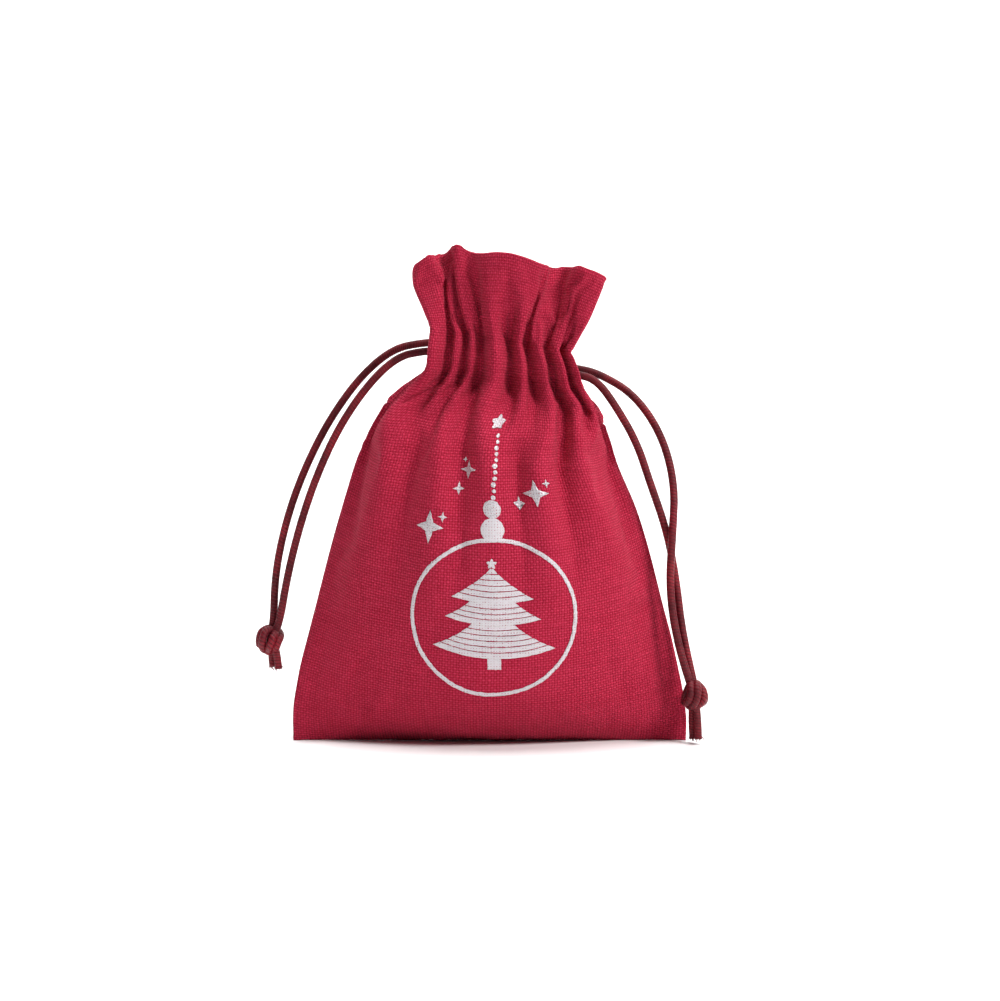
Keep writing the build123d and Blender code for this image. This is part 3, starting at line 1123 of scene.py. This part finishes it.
@dataclass
class Sewing:
    """Everything that is sewn: seam allowances, their bound edges, and the channel's stitches.

    Lengths without a unit in their name are millimetres.
    """

    canvas: Canvas
    allowance: float = 7.0
    ply: float = 0.42 * MM
    loop_pitch: float = 1.7
    inset: float = 2.0  # from the seam's outer edge to where the allowances come apart from the panels
    thread: float = 0.15 * MM
    stitch: float = 1.9
    stitch_step: float = 2.7

    def seam_line(self, name: str) -> tuple[np.ndarray, Vector]:
        """Points along a seam, and the direction of the bag's inside from it.

        Args:
            name: bottom, left or right.

        Returns:
            The seam's points in metres, and a direction.
        """
        grid = self.canvas.grids[Side.FRONT]
        if name == "bottom":
            return grid[0, 10:-10].copy(), Vector((0, 0, 1))
        last = int((SEAM_END - 13) / CLOTH_TOP * (self.canvas.rows - 1))
        column, inward = (0, 1) if name == "left" else (-1, -1)
        return grid[9:last, column].copy(), Vector((inward, 0, 0.12))

    def allowance_piece(self, name: str, finish: bpy.types.Material) -> bpy.types.Object:
        """The two plies of cloth that stand into the bag along one seam.

        Args:
            name: bottom, left or right.
            finish: The material.

        Returns:
            The piece.
        """
        line, inward = self.seam_line(name)
        form = bmesh.new()
        layer = form.loops.layers.uv.new("UVMap")
        for ply in (-1, 1):
            steps = len(line) - 1
            made = bmesh.ops.create_grid(form, x_segments=steps, y_segments=6, size=1.0)
            for vertex in made["verts"]:
                at = round((vertex.co.x + 1) / 2 * steps)
                depth = (vertex.co.y + 1) / 2
                wave = math.sin(at * 0.21 + ply) * 0.15 * MM * depth
                for loop in vertex.link_loops:
                    loop[layer].uv = (at * 0.0045, depth * self.allowance * MM / UV_SPAN)
                inner = Vector(line[at]) + inward * (self.inset + depth * self.allowance) * MM
                vertex.co = inner + Vector((0, ply * 0.30 * MM + wave, 0))
        bmesh.ops.recalc_face_normals(form, faces=form.faces)
        piece_name = f"{name}_allowance"
        piece = piece_from(mesh_from(form, piece_name), piece_name, finish)
        wall = piece.modifiers.new("ply_thickness", "SOLIDIFY")
        wall.thickness = self.ply
        wall.offset = 0
        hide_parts(f"{name}_seam")
        return piece

    def overlock_piece(self, name: str, finish: bpy.types.Material) -> bpy.types.Object:
        """Thread wound over an allowance's raw edge.

        Args:
            name: bottom, left or right.
            finish: The material.

        Returns:
            The piece.
        """
        line, inward = self.seam_line(name)
        edge = line + np.array(inward) * (self.inset + self.allowance) * MM
        distance = walk(edge)
        turns = int(distance[-1] / (self.loop_pitch * MM))
        inwards = inward.normalized()
        points = []
        for step in range(turns * 6):
            at = step / 6 * self.loop_pitch * MM
            base = Vector([np.interp(at, distance, edge[:, axis]) for axis in range(3)])
            angle = 2 * math.pi * step / 6
            points.append(tuple(
                base + inwards * math.cos(angle) * 1.0 * MM + Vector((0, math.sin(angle) * 0.95 * MM, 0))
            ))
        curve = spline_data(points, self.thread, name, 8)
        curve.resolution_u = 2
        piece_name = f"{name}_binding"
        mesh = mesh_of(curve)
        mesh.polygons.foreach_set("use_smooth", [True] * len(mesh.polygons))
        piece = piece_from(mesh, piece_name, finish)
        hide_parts(f"{name}_overlock")
        return piece

    def stitch_row(self, side: Side, row: str, height: float, finish: bpy.types.Material) -> bpy.types.Object:
        """One row of running stitches across a gathered panel.

        Args:
            side: The panel.
            row: lower or upper.
            height: Height up the flat cloth.
            finish: The material.

        Returns:
            The piece.
        """
        form = bmesh.new()
        across = -HALF_CLOTH + 1.4
        while across + self.stitch < HALF_CLOTH - 1.0:
            points = []
            for share, lift in ((0.0, -0.25), (0.16, 0.02), (0.5, 0.06), (0.84, 0.02), (1.0, -0.25)):
                spot = self.canvas.place(side, across + share * self.stitch, height, lift * MM)
                points.append(tuple(spot))
            curve = spline_data(points, 0.75 * self.thread, "stitch", 8)
            curve.resolution_u = 2
            form.from_mesh(mesh_of(curve))
            across += self.stitch_step
        name = f"{side.name.lower()}_{row}_stitches"
        piece = piece_from(mesh_from(form, name), name, finish)
        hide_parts(f"{side.name.lower()}_{row}_stitching")
        return piece

    def build(self, cloth: bpy.types.Material, thread: bpy.types.Material) -> None:
        """Make every sewn piece.

        Args:
            cloth: The canvas material.
            thread: The thread material.
        """
        for name in ("bottom", "left", "right"):
            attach(self.allowance_piece(name, cloth), "pouch")
            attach(self.overlock_piece(name, thread), "pouch")
            log.info("%s seam made", name)
        for side in Side:
            for row, height in (("lower", NECK_BOTTOM), ("upper", NECK_TOP)):
                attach(self.stitch_row(side, row, height, thread), "pouch")
        log.info("channel stitched")


# The print


@dataclass
class Motif:
    """A transfer print on the front: a bauble with a fir tree, its chain and some sparkles.

    Places are millimetres on the flat cloth: across from the middle, and up from the bottom seam.
    """

    canvas: Canvas
    axis: float = 0.8
    bauble: tuple[float, float] = (1.1, 43.45)
    bauble_radius: float = 21.05
    line_width: float = 0.98
    cell: float = 0.62
    stripe_gap: float = 0.23
    chain_lean: float = 0.075
    lift: float = 0.05 * MM
    film: float = 0.05 * MM
    seed: int = 7  # of the frayed outlines, so that they come out the same each time

    def ring(self, form: bmesh.types.BMesh, centre: tuple[float, float], outer: float, inner: float) -> None:
        """A flat ring, or a disc where inner is 0.

        Args:
            form: Where to add it.
            centre: Its middle.
            outer: Its outer radius.
            inner: Its inner radius.
        """
        around = 120 if outer > 5 else 36
        rim = bmesh.ops.create_circle(form, cap_ends=inner == 0, segments=around, radius=outer)["verts"]
        made = list(rim)
        if inner > 0:
            hole = bmesh.ops.create_circle(form, segments=around, radius=inner)["verts"]
            made += hole
            edges = list(dict.fromkeys(edge for vertex in made for edge in vertex.link_edges))
            bmesh.ops.bridge_loops(form, edges=edges)
        bmesh.ops.translate(form, verts=made, vec=(centre[0], centre[1], 0))

    def outline(self, form: bmesh.types.BMesh, points: list[tuple[float, float]]) -> None:
        """A flat shape from its outline."""
        corners = [form.verts.new((x, y, 0)) for x, y in points]
        form.faces.new(corners)

    def star(
        self, form: bmesh.types.BMesh, centre: tuple[float, float], wide: float, tall: float, arms: int,
        waist: float,
    ) -> None:
        """A star with curved-in arms.

        Args:
            form: Where to add it.
            centre: Its middle.
            wide: Half its width.
            tall: Half its height.
            arms: How many arms.
            waist: The inner radius, as a share of the outer.
        """
        points = []
        for step in range(arms * 4):
            angle = math.pi / 2 + 2 * math.pi * step / (arms * 4)
            near_waist = waist * 1.36 if arms == 4 else (1 + waist) / 2
            reach = (1.0, near_waist, waist, near_waist)[step % 4]
            across = centre[0] + math.cos(angle) * reach * wide
            points.append((across, centre[1] + math.sin(angle) * reach * tall))
        self.outline(form, points)

    def hanging(self, up: float) -> float:
        """How far across the cloth the chain lies at a height, so that it hangs almost straight.

        Args:
            up: Height up the flat cloth.

        Returns:
            Millimetres from the panel's middle.
        """
        column = (self.axis / HALF_CLOTH + 1) / 2
        grid = self.canvas.grids[Side.FRONT]
        levels = [round(height / CLOTH_TOP * (self.canvas.rows - 1)) for height in (72.0, up)]
        start = np.interp(column, np.linspace(0, 1, self.canvas.columns), grid[levels[0], :, 0])
        wanted = start + self.chain_lean * (up - 72.0) * MM
        places = np.linspace(-HALF_CLOTH, HALF_CLOTH, self.canvas.columns)
        return float(np.interp(wanted, grid[levels[1], :, 0], places))

    def stripe(
        self, form: bmesh.types.BMesh, high: float, low: float, wide_high: float, wide_low: float
    ) -> None:
        """One stripe of a branch, with its middle hanging lower than its tips.

        Args:
            form: Where to add it.
            high: Height of its upper edge.
            low: Height of its lower edge.
            wide_high: Half its width at the upper edge.
            wide_low: Half its width at the lower edge.
        """
        shares = np.linspace(-1, 1, 19)
        lines = [(high, wide_high, shares), (low, wide_low, shares[::-1])]
        points = []
        for up, wide, order in lines:
            for share in order:
                aside = share * wide
                lean = self.axis + 0.4 - 0.03 * (up - 31)
                points.append((lean + aside, up + 2.4 * (aside / 15) ** 2 - 0.03 * aside))
        self.outline(form, points)

    def tree(self, form: bmesh.types.BMesh) -> None:
        """Three tiers of branches cut into hanging stripes, on a short trunk.

        Args:
            form: Where to add it.
        """
        tiers = [
            # top, bottom, half width at the top, half width at the tips, stripes
            (56.9, 47.9, 0.35, 10.2, 6),
            (47.9, 42.0, 5.6, 11.9, 4),
            (42.0, 32.9, 5.2, 15.1, 6),
        ]
        for top, bottom, narrow, wide, stripes in tiers:
            tall = (top - bottom) / stripes
            for stripe in range(stripes):
                gap = self.stripe_gap if stripe < stripes - 1 else 0.0
                parts = (stripe / stripes, (stripe + 1 - gap / tall) / stripes)
                edges = [narrow + (wide - narrow) * part**1.12 for part in parts]
                self.stripe(form, top - stripe * tall, top - (stripe + 1) * tall + gap, edges[0], edges[1])
        self.stripe(form, 33.0, 29.9, 1.65, 1.65)

    def lay(
        self, form: bmesh.types.BMesh, name: str, finish: bpy.types.Material, ragged: float = 0.10
    ) -> bpy.types.Object:
        """Cut a flat shape fine, lay it on the cloth and give it the film's thickness.

        Args:
            form: The flat shape, in millimetres of flat cloth.
            name: The piece's name.
            finish: The print material.
            ragged: How far the weave frays its outline, in millimetres.

        Returns:
            The piece.
        """
        bmesh.ops.triangulate(form, faces=form.faces)
        for axis, normal in ((0, (1, 0, 0)), (1, (0, 1, 0))):
            places = [vertex.co[axis] for vertex in form.verts]
            for cut in np.arange(min(places) + self.cell, max(places), self.cell):
                geometry = form.verts[:] + form.edges[:] + form.faces[:]
                at = (cut, 0, 0) if axis == 0 else (0, cut, 0)
                bmesh.ops.bisect_plane(form, geom=geometry, dist=1e-4, plane_co=at, plane_no=normal)
        bmesh.ops.remove_doubles(form, verts=form.verts, dist=0.01)
        noise.seed_set(self.seed)
        for vertex in form.verts:
            if any(edge.is_boundary for edge in vertex.link_edges):
                shift = noise.noise_vector(vertex.co * 2.3)
                vertex.co += Vector((shift.x, shift.y, 0)) * ragged * 1.6
        layer = form.loops.layers.uv.new("UVMap")
        for face in form.faces:
            for loop in face.loops:
                spot = loop.vert.co
                loop[layer].uv = ((spot.x + HALF_CLOTH) * MM / UV_SPAN, spot.y * MM / UV_SPAN)
        for vertex in form.verts:
            vertex.co = self.canvas.place(Side.FRONT, vertex.co.x, vertex.co.y, self.lift)
        for face in form.faces:
            face.normal_update()
        if sum(face.normal.y * face.calc_area() for face in form.faces) > 0:
            bmesh.ops.reverse_faces(form, faces=form.faces)
        piece = piece_from(mesh_from(form, name), name, finish)
        film = piece.modifiers.new("film", "SOLIDIFY")
        film.thickness = self.film
        film.offset = 1
        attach(piece, "pouch")
        log.info("%s laid", name)
        return piece

    def build(self, white: bpy.types.Material, foil: bpy.types.Material) -> None:
        """Make the print's pieces.

        Args:
            white: The white ink.
            foil: The silver ink.
        """
        form = bmesh.new()
        self.ring(form, self.bauble, self.bauble_radius, self.bauble_radius - self.line_width)
        self.lay(form, "print_bauble", white)
        form = bmesh.new()
        self.tree(form)
        self.lay(form, "print_tree", white, 0.07)
        form = bmesh.new()
        self.star(form, (0.4, 58.1), 1.35, 1.4, 5, 0.52)
        self.ring(form, (0.65, 66.5), 2.95, 0)
        self.lay(form, "print_cap", white)
        form = bmesh.new()
        self.ring(form, (0.65, 71.6), 2.25, 0)
        for bead in range(11):
            sway = 0.15 * math.sin(bead * 2.2)
            up = 74.5 + 1.55 * bead
            self.ring(form, (self.hanging(up) + sway, up), 0.56 + 0.08 * math.sin(bead * 4.1), 0)
        self.star(form, (self.hanging(93.4), 93.4), 2.5, 2.0, 5, 0.55)
        self.lay(form, "print_chain", foil)
        form = bmesh.new()
        for across, up, wide, tall in (
            (-15.9, 66.2, 3.6, 4.25), (-12.7, 68.9, 1.25, 1.3), (-6.1, 81.0, 2.6, 2.3),
            (-7.6, 83.5, 0.8, 0.7), (-8.7, 76.2, 1.6, 1.65), (13.5, 75.5, 3.55, 3.4),
            (16.8, 78.0, 1.25, 1.15), (8.5, 73.1, 1.8, 1.8),
        ):
            self.star(form, (across, up), wide, tall, 4, 0.37)
        self.lay(form, "print_sparkles", foil)


# Cords


def metres(points: list[Point]) -> list[Point]:
    """Points given in millimetres, in metres."""
    return [tuple(value * MM for value in point) for point in points]


class Hand(Enum):
    """The two sides that the cords leave by."""

    LEFT = "left"
    RIGHT = "right"


@dataclass(frozen=True)
class Strand:
    """One free end of a draw cord, from inside the channel to its knot."""

    name: str
    lead: list[Point]
    route: list[Point]
    into: Point
    tail: list[Point]


@dataclass
class DrawCord:
    """One draw cord: its two free strands, its knot and its cut tails.

    Points are millimetres.
    """

    hand: Hand
    run: list[Point]
    strands: list[Strand]
    knot_centre: Point
    knot_turn: float
    knot_route: list[Point]
    knot_scale: Point
    radius: float = 1.0

    def strand_piece(
        self, strand: Strand, finish: bpy.types.Material
    ) -> tuple[bpy.types.Object, list[Point]]:
        """A strand's tube and the line it follows.

        Args:
            strand: The strand.
            finish: The material.

        Returns:
            The piece, and the points of its line.
        """
        points = metres([*strand.lead, *strand.route, strand.into])
        mesh = tube_mesh(points, self.radius * MM, strand.name, 24)
        line = line_of(points)
        piece = piece_from(mesh, f"{strand.name}_cord", finish)
        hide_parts(f"{strand.name}_strand", f"{strand.name}_lead")
        return piece, [tuple(point) for point in line]

    def run_piece(self, finish: bpy.types.Material) -> bpy.types.Object:
        """The part of the cord that goes round inside the channel.

        Args:
            finish: The material.

        Returns:
            The piece.
        """
        name = f"{self.hand.value}_inner_cord"
        piece = piece_from(tube_mesh(metres(self.run), self.radius * MM, name, 24), name, finish)
        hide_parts(f"{self.hand.value}_cord_run")
        return piece

    def knot_piece(self, finish: bpy.types.Material) -> bpy.types.Object:
        """The overhand knot that both strands are tied in together.

        Args:
            finish: The material.

        Returns:
            The piece.
        """
        form = bmesh.new()
        turn = Matrix.Rotation(self.knot_turn, 4, "Z")
        line = np.array(self.knot_route, float) * np.array(self.knot_scale)
        rough = walk(line)
        fine = smooth_between(np.linspace(0, rough[-1], 36), rough, line)
        ahead = np.gradient(fine, axis=0)
        aside = np.cross(ahead, fine + np.array([0.0, -0.6, 0.0]))
        aside /= np.maximum(np.linalg.norm(aside, axis=1, keepdims=True), 1e-6)
        for offset in (-0.82, 0.82):
            route = fine + aside * offset
            points = [tuple(turn @ Vector(point) * MM + Vector(self.knot_centre) * MM) for point in route]
            form.from_mesh(tube_mesh(points, self.radius * MM * 1.02, "turn", 16))
        name = f"{self.hand.value}_tied_knot"
        piece = piece_from(mesh_from(form, name), name, finish)
        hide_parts(f"{self.hand.value}_knot")
        return piece

    def tail_piece(self, strand: Strand, finish: bpy.types.Material, seed: int) -> bpy.types.Object:
        """A cut tail below the knot, with a few loose fibres at its end.

        Args:
            strand: The strand it belongs to.
            finish: The material.
            seed: Seed of its loose fibres.

        Returns:
            The piece.
        """
        form = bmesh.new()
        points = metres(strand.tail)
        form.from_mesh(tube_mesh(points, self.radius * MM * 0.96, "tail", 16))
        luck = np.random.default_rng(seed)
        end = Vector(points[-1])
        for _ in range(9):
            spin = luck.uniform(0, 2 * math.pi)
            ring = Vector((math.cos(spin), math.sin(spin), 0)) * self.radius * MM * luck.uniform(0.3, 0.85)
            out = ring * luck.uniform(0.2, 1.0) + Vector((0, 0, -luck.uniform(0.15, 0.7))) * MM
            start = end + ring + Vector((0, 0, 0.7 * MM))
            low = max((end + ring + out).z, 0.25 * MM)
            stop = Vector((end.x + ring.x + out.x, end.y + ring.y + out.y, low))
            fibre = [tuple(start), tuple(start.lerp(stop, 0.55) + ring * 0.2), tuple(stop)]
            form.from_mesh(tube_mesh(fibre, 0.09 * MM, "fibre", 8))
        name = f"{strand.name}_cut_tail"
        piece = piece_from(mesh_from(form, name), name, finish)
        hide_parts(f"{strand.name}_tail")
        return piece

    def build(self, finish: bpy.types.Material) -> None:
        """Make the cord's pieces, and tie the inner run to the pouch and the knot and tails to the cord's
        swing.

        Args:
            finish: The cord material.
        """
        hand = self.hand.value
        draw, swing = f"{hand}_cord_draw", f"{hand}_cord_swing"
        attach(self.run_piece(finish), "pouch")
        knot = self.knot_piece(finish)
        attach(knot, swing)
        for number, strand in enumerate(self.strands):
            piece, line = self.strand_piece(strand, finish)
            tail = self.tail_piece(strand, finish, 5 + number)
            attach(tail, swing)
            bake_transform(piece)
            log.info("%s strand made", strand.name)


OVERHAND = [
    (0.2, 0.4, 2.6), (-0.1, 1.6, 1.4), (-0.9, 1.9, -0.7), (-1.9, 0.7, -2.1), (-2.1, -1.0, -1.7),
    (-1.7, -1.9, 0.1), (-1.3, -1.5, 1.9), (-0.2, 0.0, 2.7), (1.3, 1.0, 2.2), (2.1, 0.0, 1.4),
    (2.1, -1.5, 0.2), (1.5, -1.7, -1.5), (0.6, -0.5, -2.5), (0.1, 0.1, -3.2),
]
LEFT_CORD = DrawCord(
    hand=Hand.LEFT,
    run=[
        (-6.4, -4.2, 98.4), (0.9, -4.5, 98.5), (9.5, -4.5, 98.2), (18.6, -4.4, 96.7), (20.4, 0.0, 96.4),
        (18.6, 4.4, 96.7), (9.5, 4.5, 98.2), (1.0, 4.5, 99.3), (-6.4, 4.2, 100.5),
    ],
    strands=[
        Strand(
            "left_front",
            [(-6.4, -4.2, 98.4), (-11.6, -4.2, 98.4)],
            [
                (-16.64, -4.2, 98.4), (-23.0, -4.0, 97.0), (-30.2, -3.5, 90.3), (-37.6, -2.8, 79.6),
                (-43.3, -2.2, 67.4), (-47.6, -1.7, 55.0), (-51.0, -1.2, 41.6), (-53.3, -0.9, 28.2),
            ],
            (-54.9, -0.4, 26.4),
            [(-54.2, -0.6, 24.0), (-53.6, -0.8, 21.5), (-53.3, -0.9, 18.3)],
        ),
        Strand(
            "left_back",
            [(-6.4, 4.2, 100.5), (-11.6, 4.2, 100.5)],
            [
                (-16.64, 4.2, 100.5), (-24.4, 3.9, 99.0), (-32.6, 3.2, 92.0), (-40.3, 2.5, 81.3),
                (-46.3, 1.9, 69.6), (-50.9, 1.4, 57.4), (-54.2, 1.0, 43.0), (-54.7, 0.9, 28.5),
            ],
            (-55.5, 0.6, 26.6),
            [(-55.0, 0.6, 24.0), (-55.3, 0.9, 21.6), (-54.9, 0.9, 18.6)],
        ),
    ],
    knot_centre=(-55.4, 0.0, 25.6),
    knot_turn=math.radians(-20),
    knot_route=OVERHAND,
    knot_scale=(1.0, 0.95, 1.0),
)
RIGHT_CORD = DrawCord(
    hand=Hand.RIGHT,
    run=[
        (11.6, -4.2, 92.7), (4.3, -4.5, 94.3), (-4.3, -4.5, 94.4), (-13.5, -4.4, 96.0), (-15.3, 0.0, 96.3),
        (-13.5, 4.4, 96.0), (-4.3, 4.5, 94.4), (4.1, 4.5, 93.3), (11.6, 4.2, 94.1),
    ],
    strands=[
        Strand(
            "right_front",
            [(11.6, -4.2, 92.7), (16.8, -4.2, 92.7)],
            [
                (21.84, -4.2, 92.7), (26.6, -4.3, 91.2), (30.9, -4.3, 85.6), (36.7, -4.1, 75.8),
                (40.1, -3.5, 65.6), (44.4, -2.7, 53.6), (46.8, -2.8, 41.2), (48.3, -3.4, 28.4),
                (51.1, -4.5, 15.8),
            ],
            (51.6, -6.0, 13.2),
            [(51.6, -6.1, 11.0), (52.2, -6.4, 6.5), (52.3, -6.5, 1.4)],
        ),
        Strand(
            "right_back",
            [(11.6, 4.2, 94.1), (16.8, 4.2, 94.1)],
            [
                (21.84, 4.2, 94.1), (27.8, 3.8, 92.6), (36.4, 2.6, 87.5), (43.2, 0.0, 77.6),
                (46.4, -3.0, 65.2), (45.7, -5.0, 52.6), (44.9, -5.2, 40.2), (46.5, -5.6, 27.7),
                (50.0, -6.3, 15.6),
            ],
            (51.0, -5.0, 13.4),
            [(51.0, -5.0, 11.0), (50.7, -4.4, 6.0), (51.2, -4.5, 1.2)],
        ),
    ],
    knot_centre=(51.3, -5.6, 12.4),
    knot_turn=math.radians(35),
    knot_route=OVERHAND,
    knot_scale=(0.95, 0.95, 1.08),
)


# Studio


@dataclass
class Studio:
    """Pale seamless floor, soft light from the upper right, and the camera."""

    lens: float = 85.0
    distance: float = 0.5948
    elevation: float = math.radians(4.0)
    aim_right: float = 4.65 * MM  # from the middle of the pouch with its cords
    aim_share: float = 0.49  # of its height
    sweep_start: float = 0.9
    sweep_radius: float = 0.6

    def camera(self) -> None:
        """Look at the pouch from the front, a little from above."""
        low, high = (Vector(corner) for corner in CAD_BOX)
        aim = Vector(((low.x + high.x) / 2 + self.aim_right, 0, self.aim_share * high.z))
        data = bpy.data.cameras.new("camera")
        data.lens = self.lens
        data.clip_start = 0.01
        seen_from = bpy.data.objects.new("camera", data)
        bpy.context.scene.collection.objects.link(seen_from)
        way = Vector((0, -math.cos(self.elevation), math.sin(self.elevation)))
        seen_from.location = aim + way * self.distance
        seen_from.rotation_euler = (-way).to_track_quat("-Z", "Y").to_euler()
        bpy.context.scene.camera = seen_from

    def lamp(self, name: str, place: Point, size: float, power: float, aim: Point) -> None:
        """One square soft light.

        Args:
            name: The light's name.
            place: Where it hangs.
            size: Length of its side, in metres.
            power: Its power, in watts.
            aim: The point it faces.
        """
        data = bpy.data.lights.new(name, "AREA")
        data.size = size
        data.energy = power
        made = bpy.data.objects.new(name, data)
        bpy.context.scene.collection.objects.link(made)
        made.location = place
        made.rotation_euler = (Vector(aim) - Vector(place)).to_track_quat("-Z", "Y").to_euler()

    def floor(self) -> None:
        """A floor that curves up behind the pouch."""
        form = bmesh.new()
        made = bmesh.ops.create_grid(form, x_segments=2, y_segments=60, size=3.0)
        bend = self.sweep_radius * math.pi / 2
        for vertex in made["verts"]:
            beyond = vertex.co.y - self.sweep_start
            if beyond > 0:
                angle = min(beyond, bend) / self.sweep_radius
                vertex.co.y = self.sweep_start + self.sweep_radius * math.sin(angle)
                vertex.co.z = self.sweep_radius * (1 - math.cos(angle)) + max(0.0, beyond - bend)
        wiring = Wiring("pale_floor")
        grain = wiring.remap(wiring.noise(wiring.object_place(), 3), 0, 1, 0.985, 1.0)
        paper = wiring.mix(grain, (0.9, 0.9, 0.9, 1), (0.94, 0.94, 0.94, 1))
        wiring.feed(wiring.shader.inputs["Base Color"], paper)
        wiring.shader.inputs["Roughness"].default_value = 0.9
        wiring.shader.inputs["Specular IOR Level"].default_value = 0.1
        piece_from(mesh_from(form, "floor"), "floor", wiring.material)

    def build(self) -> None:
        """Make the floor, the lights and the surroundings."""
        scene = bpy.context.scene
        scene.view_settings.view_transform = "Standard"
        self.floor()
        world = bpy.data.worlds.new("surroundings")
        world.use_nodes = True
        world.node_tree.nodes["Background"].inputs[0].default_value = (1, 1, 1, 1)
        world.node_tree.nodes["Background"].inputs[1].default_value = 0.06
        scene.world = world
        self.lamp("key", (1.50, -0.95, 1.62), 0.60, 45.0, (0, 0, 0.05))
        self.lamp("fill", (-1.3, -1.5, 0.8), 1.2, 0.6, (0, 0, 0.05))
        self.lamp("backdrop", (0.0, 0.30, 1.6), 1.4, 46.0, (0, 1.5, 0.3))


def main() -> None:
    """Make every piece of the pouch in order."""
    logging.basicConfig(level=logging.INFO, format="%(name)s: %(message)s")
    studio = Studio()
    studio.camera()
    cord = CordFinish().make()
    for draw_cord in (LEFT_CORD, RIGHT_CORD):
        draw_cord.build(cord)
    canvas_finish = CanvasFinish().make()
    canvas = Canvas()
    canvas.shape()
    canvas.relax()
    canvas.refine()
    canvas.crinkle()
    canvas.stand()
    panels = canvas.build(canvas_finish)
    for side, piece in panels.items():
        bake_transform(piece)
    thread = ThreadFinish().make()
    Sewing(canvas).build(canvas_finish, thread)
    Motif(canvas).build(PrintFinish().make("white_ink"), PrintFinish(foil=True).make("silver_ink"))
    studio.build()


if __name__ == "__main__":
    main()
